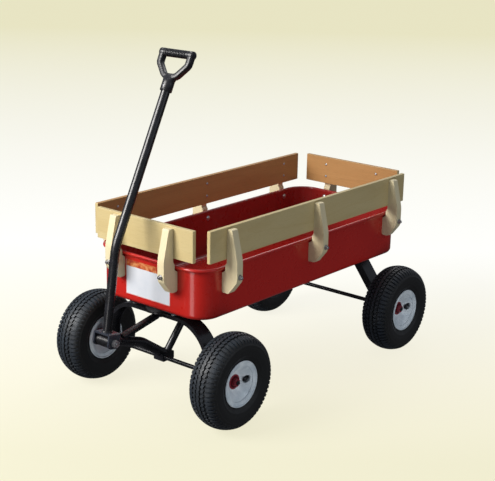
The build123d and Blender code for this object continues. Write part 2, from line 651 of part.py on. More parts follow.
# ---------------------------------------------------------------- write every node
def write_body():
    tray = build_tray()
    save(tray, "tray_pan")
    side = Rot(0, 0, 90) * build_board(SIDE_BOARD_L)      # outer face now on X = 0, body towards -X
    end = build_board(END_BOARD_L)
    holes = {}
    fasteners, screws = [], []
    for name, wall_point, direction in stake_places():
        save(against_wall(wall_point, direction, build_stake()), name)
        fasteners += [against_wall(wall_point, direction, item) for item in stake_bolt()]
        wall = name.split("_")[1]
        for z in BOARD_SCREW_Z:
            screws.append(against_wall(wall_point, direction, board_screw(z)))
            holes.setdefault(wall, []).append(against_wall(wall_point, direction, screw_hole(z)))
    boards = {
        "right": Pos(TRAY_WALL_X + BOARD_STANDOFF, TRAY_Y, BOARD_Z) * side,
        "left": Pos(-TRAY_WALL_X - BOARD_STANDOFF, TRAY_Y, BOARD_Z) * (Rot(0, 0, 180) * side),
        "front": Pos(0, TRAY_Y - TRAY_WALL_Y - BOARD_STANDOFF, BOARD_Z) * end,
        "rear": Pos(0, TRAY_Y + TRAY_WALL_Y + BOARD_STANDOFF, BOARD_Z) * (Rot(0, 0, 180) * end),
    }
    for wall, board in boards.items():
        for hole in holes[wall]:
            board -= hole
        save(board, f"board_{wall}")
    save(group(fasteners), "stake_bolts")
    save(group(screws), "board_screws")
    label_face = TRAY_Y - TRAY_WALL_Y
    save(block((-80, label_face - 0.4, 303), (80, label_face, 399)), "front_label")
    save(build_floor_bolts(), "tray_floor_bolts")
    save(build_upper_plate(), "turntable_upper_plate")
    save(build_kingpin(), "kingpin")


def write_rear_axle():
    arch = build_arch(REAR_ARCH, REAR_ARCH_R, REAR_FLANGE, REAR_AXLE_Y)
    pad = build_rear_pad()
    for x, dy in REAR_BOLTS:
        y = REAR_AXLE_Y + dy
        hole = rod((x, y, 200), (x, y, 300), TRAY_BOLT_R + BOLT_CLEAR)
        arch -= hole
        pad -= hole
    save(arch, "rear_arch")
    save(pad, "rear_mounting_pad")
    save(build_axle(REAR_AXLE_Y), "rear_axle")
    save(build_axle_nuts(REAR_AXLE_Y), "rear_axle_nuts")


def write_front_truck():
    arch = build_arch(FRONT_ARCH, FRONT_ARCH_R, FRONT_FLANGE, FRONT_AXLE_Y)
    arch -= rod((0, FRONT_AXLE_Y, 200), (0, FRONT_AXLE_Y, 300), KINGPIN_R + RUNNING)
    axle = build_axle(FRONT_AXLE_Y)
    bracket = build_axle_bracket()
    tongue = build_tongue(bracket, axle)
    clearance = rod((0, FRONT_AXLE_Y, 230), (0, FRONT_AXLE_Y, 262), 17)
    save(arch, "front_arch")
    save(axle, "front_axle")
    save(build_axle_nuts(FRONT_AXLE_Y), "front_axle_nuts")
    save(build_lower_plate(), "turntable_lower_plate")
    save(build_turntable_washer(), "turntable_washer")
    save(tongue, "tongue")
    save(build_upper_strut([arch, tongue, clearance]), "upper_strut")
    save(build_rear_brace(bracket, tongue), "rear_brace")
    save(bracket, "axle_bracket")
    save(build_bracket_bolts(), "axle_bracket_bolts")


def write_handle():
    save(build_fork(), "handle_fork")
    save(build_handle_tube(), "handle_tube")
    save(build_grip(), "handle_grip")
    save(build_grip_screw(), "grip_screw")
    save(build_pivot_bolt(), "handle_pivot_bolt")


def write_wheels():
    pieces = {"tyre": build_tyre(), "inner_tube": build_inner_tube(), "rim": build_rim(),
              "hub": build_hub(), "bearings": build_bearings()}
    corners = {"front_right": (1, FRONT_AXLE_Y), "front_left": (-1, FRONT_AXLE_Y),
               "rear_right": (1, REAR_AXLE_Y), "rear_left": (-1, REAR_AXLE_Y)}
    for corner, (sign, axle_y) in corners.items():
        for piece, shape in pieces.items():
            save(place_wheel(shape, sign, axle_y), f"{piece}_{corner}")


write_body()
write_rear_axle()
write_front_truck()
write_handle()
write_wheels()
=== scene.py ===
import bpy
import json
from math import cos, pi, radians, sin, sqrt, tau
from mathutils import Matrix, Vector


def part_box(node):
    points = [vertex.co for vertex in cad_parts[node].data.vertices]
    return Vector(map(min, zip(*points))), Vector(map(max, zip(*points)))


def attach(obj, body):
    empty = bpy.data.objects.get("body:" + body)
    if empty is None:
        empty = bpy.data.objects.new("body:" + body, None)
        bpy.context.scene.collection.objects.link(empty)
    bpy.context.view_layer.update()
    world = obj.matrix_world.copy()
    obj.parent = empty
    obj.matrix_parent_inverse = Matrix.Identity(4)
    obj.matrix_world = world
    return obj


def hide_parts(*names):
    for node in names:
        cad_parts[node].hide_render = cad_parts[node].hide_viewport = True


# Garden cart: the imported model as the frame, with detailed tyres and grip, weld beads, valve caps
# and procedural materials around it. Metres, in the row frame: X across the cart, +Y to the rear,
# Z up, with the ground at Z = 0.
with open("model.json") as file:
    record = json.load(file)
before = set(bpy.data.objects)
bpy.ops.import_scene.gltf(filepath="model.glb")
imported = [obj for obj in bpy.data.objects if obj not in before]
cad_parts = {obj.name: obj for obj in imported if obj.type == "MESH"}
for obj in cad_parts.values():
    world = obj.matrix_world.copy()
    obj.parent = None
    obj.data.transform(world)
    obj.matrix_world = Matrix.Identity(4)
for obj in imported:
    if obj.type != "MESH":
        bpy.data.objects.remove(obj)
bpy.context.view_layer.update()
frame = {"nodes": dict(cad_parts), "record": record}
MM = 0.001
SIDES = {"right": 1, "left": -1}
AXLES = ("front", "rear")


def middle(node):
    low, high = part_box(node)
    return (low + high) / 2


# ---------------------------------------------------------------- shader recipes
class Recipe:
    """A procedural material, built from a Principled shader and the object's own coordinates."""

    def __init__(self, name, metallic=0.0, coat=0.0, coat_roughness=0.05, sheen=0.0, specular=0.5):
        self.material = bpy.data.materials.new(name)
        self.material.use_nodes = True
        self.nodes = self.material.node_tree.nodes
        self.links = self.material.node_tree.links
        self.shader = self.nodes["Principled BSDF"]
        self.shader.inputs["Metallic"].default_value = metallic
        self.shader.inputs["Coat Weight"].default_value = coat
        self.shader.inputs["Coat Roughness"].default_value = coat_roughness
        self.shader.inputs["Sheen Weight"].default_value = sheen
        self.shader.inputs["Sheen Roughness"].default_value = 0.4
        self.shader.inputs["Specular IOR Level"].default_value = specular
        coords = self.nodes.new("ShaderNodeTexCoord")
        self.place = coords.outputs["Object"]
        self.normal = coords.outputs["Normal"]

    def feed(self, socket, value):
        if isinstance(value, bpy.types.NodeSocket):
            self.links.new(value, socket)
        elif hasattr(socket.default_value, "__len__") and len(socket.default_value) == 4:
            socket.default_value = (*value, 1.0)
        else:
            socket.default_value = value

    def set(self, name, value):
        self.feed(self.shader.inputs[name], value)

    def scaled(self, scale, source=None, shift=(0, 0, 0)):
        node = self.nodes.new("ShaderNodeMapping")
        self.feed(node.inputs["Vector"], source or self.place)
        node.inputs["Scale"].default_value = scale
        node.inputs["Location"].default_value = shift
        return node.outputs["Vector"]

    def noise(self, scale, detail=4.0, roughness=0.55, source=None, distortion=0.0):
        node = self.nodes.new("ShaderNodeTexNoise")
        self.feed(node.inputs["Vector"], source or self.place)
        node.inputs["Scale"].default_value = scale
        node.inputs["Detail"].default_value = detail
        node.inputs["Roughness"].default_value = roughness
        node.inputs["Distortion"].default_value = distortion
        return node.outputs["Fac"]

    def cells(self, scale, source=None):
        node = self.nodes.new("ShaderNodeTexVoronoi")
        self.feed(node.inputs["Vector"], source or self.place)
        node.inputs["Scale"].default_value = scale
        return node.outputs["Distance"]

    def math(self, operation, first, second=0.0, clamp=False):
        node = self.nodes.new("ShaderNodeMath")
        node.operation = operation
        node.use_clamp = clamp
        self.feed(node.inputs[0], first)
        self.feed(node.inputs[1], second)
        return node.outputs[0]

    def band(self, value, low, high, to_low=0.0, to_high=1.0):
        """value mapped from low..high to to_low..to_high, and held at the ends."""
        node = self.nodes.new("ShaderNodeMapRange")
        self.feed(node.inputs["Value"], value)
        node.inputs["From Min"].default_value = low
        node.inputs["From Max"].default_value = high
        node.inputs["To Min"].default_value = to_low
        node.inputs["To Max"].default_value = to_high
        return node.outputs["Result"]

    def ramp(self, value, stops):
        """Colours along a ramp: stops are (position, (r, g, b))."""
        node = self.nodes.new("ShaderNodeValToRGB")
        self.feed(node.inputs["Fac"], value)
        elements = node.color_ramp.elements
        while len(elements) < len(stops):
            elements.new(0.5)
        for element, (position, colour) in zip(elements, stops):
            element.position = position
            element.color = (*colour, 1.0)
        return node.outputs["Color"]

    def mix(self, factor, first, second, blend="MIX"):
        node = self.nodes.new("ShaderNodeMix")
        node.data_type = "RGBA"
        node.blend_type = blend
        self.feed(node.inputs[0], factor)
        self.feed(node.inputs[6], first)
        self.feed(node.inputs[7], second)
        return node.outputs[2]

    def dot(self, vector, fixed):
        node = self.nodes.new("ShaderNodeVectorMath")
        node.operation = "DOT_PRODUCT"
        self.feed(node.inputs[0], vector)
        node.inputs[1].default_value = fixed
        return node.outputs["Value"]

    def axes(self, source=None):
        node = self.nodes.new("ShaderNodeSeparateXYZ")
        self.feed(node.inputs[0], source or self.place)
        return node.outputs

    def joined(self, x, y, z):
        node = self.nodes.new("ShaderNodeCombineXYZ")
        for socket, value in zip(node.inputs, (x, y, z)):
            self.feed(socket, value)
        return node.outputs[0]

    def bump(self, height, strength, depth):
        """Adds a bump of depth metres on top of any bump already there."""
        node = self.nodes.new("ShaderNodeBump")
        node.inputs["Strength"].default_value = strength
        node.inputs["Distance"].default_value = depth
        self.feed(node.inputs["Height"], height)
        earlier = self.shader.inputs["Normal"].links
        if earlier:
            self.links.new(earlier[0].from_socket, node.inputs["Normal"])
        self.links.new(node.outputs["Normal"], self.shader.inputs["Normal"])


def enamel(name, deep, bright, painted_shade_inside, centre):
    """Glossy baked enamel: a clear top, a slow colour drift and a fine orange peel. Faces that look
    towards the centre, within the tray, are painted darker: painted shade."""
    r = Recipe(name, coat=0.5, coat_roughness=0.11, specular=0.32)
    colour = r.ramp(r.noise(5.0, 3.0), [(0.3, deep), (0.7, bright)])
    position, normal = r.axes(), r.axes(r.normal)
    out_x = r.math("MULTIPLY", normal[0], r.math("ADD", position[0], -centre.x))
    out_y = r.math("MULTIPLY", normal[1], r.math("ADD", position[1], -centre.y))
    # Painted shade: faces turned towards the middle of the tray get the darker third colour.
    inward = r.band(r.math("ADD", out_x, out_y), -0.02, -0.12)
    r.set("Base Color", r.mix(inward, colour, painted_shade_inside))
    r.set("Roughness", r.band(r.noise(40.0, 4.0), 0.3, 0.7, 0.26, 0.31))
    r.bump(r.noise(180.0, 1.0, 0.4), 0.02, 0.0003)
    return r.material


def powder_coat(name, colour, glint):
    """Satin black powder coat with its fine pebbled skin and slightly rubbed patches."""
    r = Recipe(name, specular=0.55)
    patch = r.band(r.noise(26.0, 6.0, 0.6), 0.45, 0.7)
    r.set("Base Color", r.mix(patch, colour, glint))
    r.set("Roughness", r.band(r.noise(90.0, 5.0), 0.3, 0.7, 0.20, 0.34))
    r.bump(r.noise(900.0, 3.0, 0.5), 0.16, 0.0003)
    r.bump(r.noise(45.0, 2.0), 0.06, 0.0006)
    return r.material


def painted_steel(name, colour, shade, roughness=0.36, metallic=0.0, coat=0.15):
    """Sprayed paint on a pressed part: slow shading, overspray grain and dirt in the pores."""
    r = Recipe(name, metallic=metallic, coat=coat, coat_roughness=0.18)
    slow = r.band(r.noise(18.0, 5.0, 0.6), 0.35, 0.7)
    base = r.mix(slow, colour, shade)
    speck = r.band(r.noise(700.0, 3.0, 0.6), 0.60, 0.74, 0.0, 0.25)
    dark = tuple(part * 0.45 for part in shade)
    r.set("Base Color", r.mix(speck, base, dark))
    r.set("Roughness", r.band(r.noise(120.0, 5.0), 0.3, 0.7, roughness - 0.07, roughness + 0.09))
    r.bump(r.noise(520.0, 3.0), 0.15, 0.0003)
    return r.material


def plated(name, colour, roughness=0.38):
    """Dull zinc plate: metallic, with a crystalline mottling and light handling marks."""
    r = Recipe(name, metallic=0.85)
    mottle = r.cells(420.0)
    slow = r.noise(60.0, 6.0, 0.6)
    dark = tuple(part * 0.55 for part in colour)
    r.set("Base Color", r.mix(r.band(r.math("MULTIPLY", mottle, slow), 0.05, 0.35), dark, colour))
    r.set("Roughness", r.band(slow, 0.3, 0.7, roughness - 0.08, roughness + 0.12))
    r.bump(mottle, 0.15, 0.0002)
    return r.material


def sealed_steel(name, colour, seal):
    """Ground steel rings whose end faces carry a coloured rubber seal."""
    r = Recipe(name, metallic=0.6)
    steel = r.ramp(r.noise(200.0, 5.0), [(0.3, tuple(c * 0.8 for c in colour)), (0.7, colour)])
    end = r.band(r.math("ABSOLUTE", r.axes(r.normal)[0]), 0.85, 0.95)
    r.set("Base Color", r.mix(end, steel, seal))
    r.set("Roughness", r.band(r.noise(300.0, 4.0), 0.3, 0.7, 0.28, 0.42))
    r.bump(r.noise(1200.0, 2.0), 0.1, 0.0002)
    return r.material


def rubber(name, colour, wear_and_highlight, sheen=0.0):
    """Moulded rubber: matt and near black on the sides; across the tread a blue-grey tint in random patches,
    partly wear and partly a painted highlight.
    """
    r = Recipe(name, sheen=sheen, specular=0.42)
    # The blue-grey tread tint is partly wear and partly a painted highlight of the lamps on the tread.
    tread = r.band(r.math("ABSOLUTE", r.axes(r.normal)[0]), 0.75, 0.45)
    patchy = r.band(r.noise(22.0, 6.0, 0.65), 0.4, 0.72, 0.45, 1.0)
    r.set("Base Color", r.mix(r.math("MULTIPLY", tread, patchy), colour, wear_and_highlight))
    r.set("Roughness", r.band(r.noise(70.0, 5.0), 0.3, 0.7, 0.42, 0.60))
    r.bump(r.noise(1100.0, 3.0, 0.6), 0.30, 0.0003)
    r.bump(r.noise(160.0, 4.0), 0.12, 0.0005)
    return r.material


def moulded_plastic(name, colour, roughness=0.42):
    """Moulded plastic with a fine spark-eroded texture."""
    r = Recipe(name, specular=0.5)
    lighter = tuple(part * 1.4 + 0.002 for part in colour)
    r.set("Base Color", r.mix(r.band(r.noise(55.0, 5.0), 0.4, 0.7), colour, lighter))
    r.set("Roughness", r.band(r.noise(140.0, 4.0), 0.3, 0.7, roughness - 0.06, roughness + 0.1))
    r.bump(r.cells(1500.0), 0.10, 0.0002)
    return r.material


def timber(name, grain, face, seed, pale, streak, inner=None, inner_streak=None, inward=None,
           stained_top=False):
    """Varnished softwood. grain and face are the axes (0, 1 or 2) along the grain and through the
    thickness. Where inner is given, the side whose normal is inward is the darker stained one, and
    with stained_top the upper edge is stained as well."""
    r = Recipe(name, coat=0.25, coat_roughness=0.22, specular=0.4)
    position = r.axes()
    across = 3 - grain - face
    ordered = r.joined(position[face], position[across], position[grain])
    moved = r.scaled((1, 1, 1), ordered, (seed * 0.37, seed * 0.61, seed * 1.9))
    warp = r.noise(1.0, 3.0, 0.5, r.scaled((9, 9, 1.6), moved))
    depth = r.math("ADD", position[face], 0.055 + 0.008 * (seed % 3))
    height = r.math("ADD", position[across], -TIMBER_MIDDLE[across] + 0.012 * ((seed % 5) - 2))
    distance = r.math("SQRT", r.math("ADD", r.math("MULTIPLY", depth, depth),
                                     r.math("MULTIPLY", height, height)))
    bent = r.math("ADD", distance, r.math("MULTIPLY", warp, 0.016))
    ring = r.math("FRACT", r.math("MULTIPLY", bent, 1 / RING_PITCH))
    late = r.band(r.math("POWER", ring, 3.0), 0.25, 0.95)
    fibre = r.noise(1.0, 5.0, 0.6, r.scaled((700, 700, 14), moved))
    pores = r.band(r.noise(1.0, 2.0, 0.5, r.scaled((1500, 1500, 60), moved)), 0.60, 0.72)
    broad = r.band(r.noise(1.0, 3.0, 0.5, r.scaled((14, 22, 3), moved)), 0.35, 0.68)
    grain_mix = r.math("ADD", r.math("MULTIPLY", late, 0.26),
                       r.math("MULTIPLY", r.band(fibre, 0.35, 0.7), 0.24), clamp=True)

    def surface(light, dark):
        base = r.mix(grain_mix, light, dark)
        tinted = r.mix(r.math("MULTIPLY", broad, 0.35), base, dark)
        return r.mix(r.math("MULTIPLY", pores, 0.35), tinted, tuple(part * 0.45 for part in dark))

    colour = surface(pale, streak)
    if inner:
        stained = r.dot(r.normal, inward)
        if stained_top:
            stained = r.math("MAXIMUM", stained, r.axes(r.normal)[2])
        facing = r.band(stained, 0.72, 0.95)
        colour = r.mix(facing, colour, surface(inner, inner_streak))
    r.set("Base Color", colour)
    r.set("Roughness", r.band(fibre, 0.3, 0.7, 0.42, 0.58))
    r.bump(fibre, 0.25, 0.0003)
    r.bump(late, 0.15, 0.0003)
    return r.material


def sticker(name, low, high):
    """A plain printed sticker: a pale sheet, a mottled warm strip along its top and a thin edge."""
    r = Recipe(name, coat=0.3, coat_roughness=0.2)
    position = r.axes()
    ripple = r.noise(110.0, 5.0, 0.65)
    strip_low = high.z - STICKER_STRIP
    edge = r.math("ADD", position[2], r.math("MULTIPLY", ripple, 0.003))
    strip = r.band(edge, strip_low, strip_low + 0.001)
    border_x = r.math("ABSOLUTE", r.math("ADD", position[0], -(low.x + high.x) / 2))
    side = r.band(border_x, (high.x - low.x) / 2 - STICKER_EDGE, (high.x - low.x) / 2 - STICKER_EDGE + 0.0004)
    foot = r.band(position[2], low.z + STICKER_EDGE, low.z + STICKER_EDGE - 0.0004)
    border = r.math("MAXIMUM", side, foot)
    warm = r.ramp(r.noise(85.0, 4.0, 0.6), [(0.38, (0.34, 0.030, 0.014)), (0.5, (0.50, 0.12, 0.03)),
                                          (0.64, (0.60, 0.26, 0.10))])
    sheet = r.ramp(r.noise(16.0, 5.0), [(0.3, (0.54, 0.58, 0.64)), (0.7, (0.64, 0.66, 0.70))])
    body = r.mix(strip, sheet, warm)
    r.set("Base Color", r.mix(r.math("MULTIPLY", border, 0.8), body, (0.66, 0.30, 0.28)))
    r.set("Roughness", r.band(r.noise(40.0), 0.3, 0.7, 0.3, 0.42))
    r.bump(r.noise(60.0, 3.0), 0.08, 0.0004)
    return r.material


# ---------------------------------------------------------------- mesh makers
def mesh_object(name, vertices, faces, material, smooth_angle=35):
    mesh = bpy.data.meshes.new(name)
    mesh.from_pydata([tuple(v) for v in vertices], [], faces)
    mesh.validate()
    mesh.shade_smooth()
    mesh.set_sharp_from_angle(angle=radians(smooth_angle))
    mesh.materials.append(material)
    piece = bpy.data.objects.new(name, mesh)
    bpy.context.scene.collection.objects.link(piece)
    return piece


def grid_faces(rows, columns, close_rows=True, close_columns=True):
    """Quads over a grid of rows x columns vertices, wrapping round where asked."""
    faces = []
    for i in range(rows if close_rows else rows - 1):
        below = (i + 1) % rows
        for j in range(columns if close_columns else columns - 1):
            right = (j + 1) % columns
            faces.append((i * columns + j, i * columns + right, below * columns + right, below * columns + j))
    return faces


# ---------------------------------------------------------------- tyres
TYRE_R = 129.0
CROWN_R = 72.0            # cross radius of the tread
CROWN_EDGE = 34.5         # where the crown turns down to the shoulder
CROWN_EDGE_R = 120.2
PITCHES = 62              # tread blocks round a tyre
TREAD_CUT = 5.0           # depth of the tread grooves
# Steps round one pitch: (share of the pitch, sawtooth offset, row of blocks that is cut across).
PITCH_STEPS = ((0.00, -1.0, ""), (0.14, -0.55, ""), (0.20, -0.3, "rib"), (0.44, 0.45, "rib"),
               (0.50, 0.65, ""), (0.62, 1.0, ""), (0.68, 0.65, "lug"), (0.94, -0.7, "lug"))
# Stations across half the tread: (distance from the middle, sawtooth reach, what it is).
TREAD_STATIONS = (
    (4.2, 1.3, "middle"), (4.9, 1.3, "floor"), (7.9, 1.3, "floor"), (8.6, 1.3, "rib"),
    (12.7, 1.0, "rib"), (16.6, 1.3, "rib"), (17.3, 1.3, "floor"), (20.7, 1.3, "floor"),
    (21.4, 1.3, "lug"), (27.1, 0.7, "lug"), (31.8, 0.2, "lug"), (34.6, 0.0, "lug"), (38.0, 0.0, "lug"),
    (40.4, 0.0, "toe"),
)
# The sidewall below the lugs, with its raised lines: (across, radius).
SIDEWALL = ((41.9, 108.6), (42.8, 105.6), (43.6, 104.9), (43.9, 103.6), (43.3, 102.2), (43.9, 98.5),
            (44.0, 94.0), (43.6, 89.0), (42.9, 84.5), (41.6, 79.5), (41.7, 77.8), (41.1, 76.4), (40.0, 75.2),
            (38.3, 71.6), (36.6, 68.4), (34.4, 65.2), (32.6, 63.2), (31.6, 61.2), (30.6, 56.5), (30.0, 52.6))


def crown(across):
    """Radius of the tread surface at a distance from the middle plane."""
    if abs(across) <= CROWN_EDGE:
        return TYRE_R - CROWN_R + sqrt(CROWN_R ** 2 - across ** 2)
    return CROWN_EDGE_R - (abs(across) - CROWN_EDGE) * 0.95


def half_section(step_offset, cut_row):
    """Points from beside the middle to the bead on one side: (across, radius)."""
    depths = {"floor": TREAD_CUT, cut_row: TREAD_CUT * (0.8 if cut_row == "rib" else 1.0)}
    if cut_row == "lug":
        depths["toe"] = TREAD_CUT * 0.7
    points = []
    for across, reach, row in TREAD_STATIONS:
        x = across + reach * step_offset
        cut = depths.get(row, 0.0)
        lean = min(abs(x) / CROWN_R, 0.75)
        points.append((x - cut * lean * 0.6, crown(x) - cut * (1 - 0.35 * lean)))
    points.extend(SIDEWALL)
    return points


def tyre(name, centre, sign, phase, material):
    """A pneumatic tyre with sawtooth grooves, ribs cut into blocks and notched shoulders."""
    columns = []
    for pitch in range(PITCHES):
        for step, (share, offset, cut_row) in enumerate(PITCH_STEPS):
            turn = tau * (pitch + share + phase) / PITCHES
            opposite = PITCH_STEPS[(step + 4) % len(PITCH_STEPS)]
            right = half_section(offset, cut_row)
            left = [(-x, r) for x, r in half_section(-offset, opposite[2])]
            ring = list(reversed(left)) + [(0.0, TYRE_R)] + right
            columns.append((turn, ring))
    vertices = []
    for turn, ring in columns:
        for across, radius in ring:
            vertices.append(centre + MM * Vector((sign * across, radius * cos(turn), radius * sin(turn))))
    faces = grid_faces(len(columns), len(columns[0][1]), close_columns=False)
    if sign < 0:
        faces = [tuple(reversed(face)) for face in faces]
    return mesh_object(name, vertices, faces, material, smooth_angle=38)


# ---------------------------------------------------------------- rims
# Closed outlines of one rim, each (along the axle towards the outboard side, radius).
FLANGE = ((30.8, 51.0), (31.9, 56.0), (32.6, 60.0), (33.6, 61.8), (35.2, 62.7), (36.8, 62.4), (37.7, 61.2),
          (37.6, 59.7), (36.5, 58.9), (35.3, 58.6), (34.5, 57.4), (34.0, 54.0), (32.9, 49.2))
WELL_OUTER = ((-30.8, 51.0), (-16.0, 51.0), (-13.0, 49.5), (-10.0, 45.0), (10.0, 45.0), (13.0, 49.5),
              (16.0, 51.0))
WELL_INNER = ((17.0, 48.8), (14.0, 47.2), (11.2, 42.8), (-11.2, 42.8), (-14.0, 47.2), (-17.0, 48.8))
BARREL = (*WELL_OUTER, *FLANGE, *WELL_INNER, *[(-x, r) for x, r in reversed(FLANGE[1:])])
DISC = ((31.4, 48.9), (30.4, 47.2), (28.9, 44.8), (26.6, 41.6), (23.6, 37.8), (20.4, 34.0), (17.2, 30.2),
        (14.4, 26.8), (12.6, 24.4), (11.9, 22.6), (11.7, 20.8), (11.2, 20.05), (3.0, 20.05), (3.0, 22.0),
        (8.6, 22.6), (9.8, 24.6), (11.6, 27.2), (14.4, 30.6), (17.6, 34.4), (20.8, 38.2), (23.8, 42.0),
        (26.2, 45.4), (27.8, 48.9))
RIM_SEGMENTS = 128
VALVE_WINDOW = (8.0, 11.5)        # half axes, along and across the radius
VALVE_WINDOW_TILT = radians(-22)
VALVE_WINDOW_SIDES = 40
VALVE_RADIUS = 36.0
VALVE_STEM_TIP = (20.0, 33.0)
VALVE_STEM_ROOT = (12.0, 59.2)


def applied(piece):
    """The piece with its modifiers turned into its mesh."""
    graph = bpy.context.evaluated_depsgraph_get()
    mesh = bpy.data.meshes.new_from_object(piece.evaluated_get(graph))
    piece.modifiers.clear()
    piece.data = mesh
    return piece


def rim(name, centre, sign, material):
    """A pressed rim: barrel with rolled flanges, two dished discs and an oval valve window."""
    vertices, faces = [], []
    for outline in (BARREL, DISC, [(-x, r) for x, r in reversed(DISC)]):
        start = len(vertices)
        for i in range(RIM_SEGMENTS):
            turn = tau * i / RIM_SEGMENTS
            for along, radius in outline:
                vertices.append(MM * Vector((along, radius * cos(turn), radius * sin(turn))))
        faces.extend(tuple(start + v for v in face) for face in grid_faces(RIM_SEGMENTS, len(outline)))
    piece = mesh_object(name, vertices, faces, material)
    cutter_points = []
    sides, tilt = VALVE_WINDOW_SIDES, VALVE_WINDOW_TILT
    for along in (6.0, 60.0):
        for i in range(sides):
            turn = tau * i / sides
            u, v = VALVE_WINDOW[0] * cos(turn), VALVE_WINDOW[1] * sin(turn)
            across = u * cos(tilt) - v * sin(tilt)
            up = u * sin(tilt) + v * cos(tilt)
            cutter_points.append(MM * Vector((along, VALVE_RADIUS + across, up)))
    cutter_faces = [tuple(reversed(range(sides))), tuple(range(sides, 2 * sides))]
    cutter_faces += [(i, (i + 1) % sides, sides + (i + 1) % sides, sides + i) for i in range(sides)]
    cutter = mesh_object(name + "_window", cutter_points, cutter_faces, material)
    cut = piece.modifiers.new("window", "BOOLEAN")
    cut.operation = "DIFFERENCE"
    cut.object = cutter
    cut.solver = "EXACT"
    applied(piece)
    bpy.data.objects.remove(cutter)
    piece.data.transform(Matrix.Translation(centre) @ Matrix.Rotation(0 if sign > 0 else pi, 4, "Z"))
    piece.data.shade_smooth()
    piece.data.set_sharp_from_angle(angle=radians(35))
    return piece


def valve_cap(name, centre, sign, material):
    """A ribbed dust cap on the end of the valve stem."""
    root, tip = Vector((*VALVE_STEM_ROOT, 0)), Vector((*VALVE_STEM_TIP, 0))
    along = (tip - root).normalized()
    outline = ((3.2, -1.0), (4.7, -1.0), (5.0, -0.4), (5.0, 6.2), (4.2, 7.6), (2.4, 8.4), (0.05, 8.6))
    vertices, sides = [], 36
    for i in range(sides):
        turn = tau * i / sides
        groove = 0.35 * (i % 3 == 0)
        for radius, height in outline:
            reach = max(radius - (groove if radius > 4.5 else 0.0), 0.05)
            vertices.append(MM * Vector((reach * cos(turn), reach * sin(turn), height)))
    faces = grid_faces(sides, len(outline), close_columns=False)
    piece = mesh_object(name, vertices, faces, material, 50)
    turned = along.to_track_quat("Z", "Y").to_matrix().to_4x4()
    spin = Matrix.Rotation(0 if sign > 0 else pi, 4, "Z")
    piece.data.transform(Matrix.Translation(centre) @ spin @ Matrix.Translation(MM * tip) @ turned)
    return piece


# ---------------------------------------------------------------- handle grip
UPPER_LEAN = radians(26.0)
LOWER_LEAN = radians(8.6)
TUBE_R = 0.012
FORK_CROWN = 0.0253        # from the pivot to the top of the fork, where the tube is welded
GRIP_BAR_AT = 78.0        # from the end of the tube to the middle of the bar
GRIP_BAR_R = 11.0
FRAME_HALF_DEPTH = 9.5
# Middle of the frame's arm, from its top to the middle of the neck: (across, up, half width).
GRIP_PATH = ((-49.0, 86.0, 7.2), (-49.0, 84.0, 8.0), (-49.0, 70.0, 8.0), (-49.0, 57.0, 8.0),
             (-48.6, 51.0, 7.8), (-46.2, 46.0, 7.6), (-38.0, 36.6, 7.4), (-30.0, 27.4, 7.4),
             (-24.0, 20.8, 7.5), (-18.0, 16.8, 7.7), (-9.0, 15.5, 7.8), (0.0, 15.4, 7.8))
# The collar and neck: (up, half width, half depth).
NECK = ((-24.0, 15.0, 15.0), (-22.8, 16.0, 16.0), (-3.0, 16.0, 16.0), (4.0, 16.2, 15.4), (9.0, 19.0, 12.6),
        (14.0, 22.0, 10.6), (18.5, 22.6, 9.6), (21.5, 20.0, 7.6), (23.0, 15.0, 5.0))
RIBS = 14
RIB_PITCH = 5.5
FRAME_SIDES = 28
BAR_SIDES = 48


def tube_end(node, radius, lean):
    """Centre of the upper end of a round tube that leans back."""
    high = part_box(node)[1]
    return Vector((0, high.y - radius * cos(lean), high.z - radius * sin(lean)))


def rounded(turn, half_width, half_depth, power=0.5):
    """A point on a rounded rectangle."""
    c, s = cos(turn), sin(turn)
    return (half_width * abs(c) ** power * (1 if c > 0 else -1),
            half_depth * abs(s) ** power * (1 if s > 0 else -1))


def loft(rings):
    """Vertices and faces of a skin over rings, closed with a fan at each end."""
    count = len(rings[0])
    vertices = [point for ring in rings for point in ring]
    faces = grid_faces(len(rings), count, close_rows=False)
    for ring_index, flip in ((0, False), (len(rings) - 1, True)):
        hub = len(vertices)
        ring = rings[ring_index]
        vertices.append(sum(ring, Vector()) / count)
        for j in range(count):
            a, b = ring_index * count + j, ring_index * count + (j + 1) % count
            faces.append((hub, a, b) if flip else (hub, b, a))
    return vertices, faces


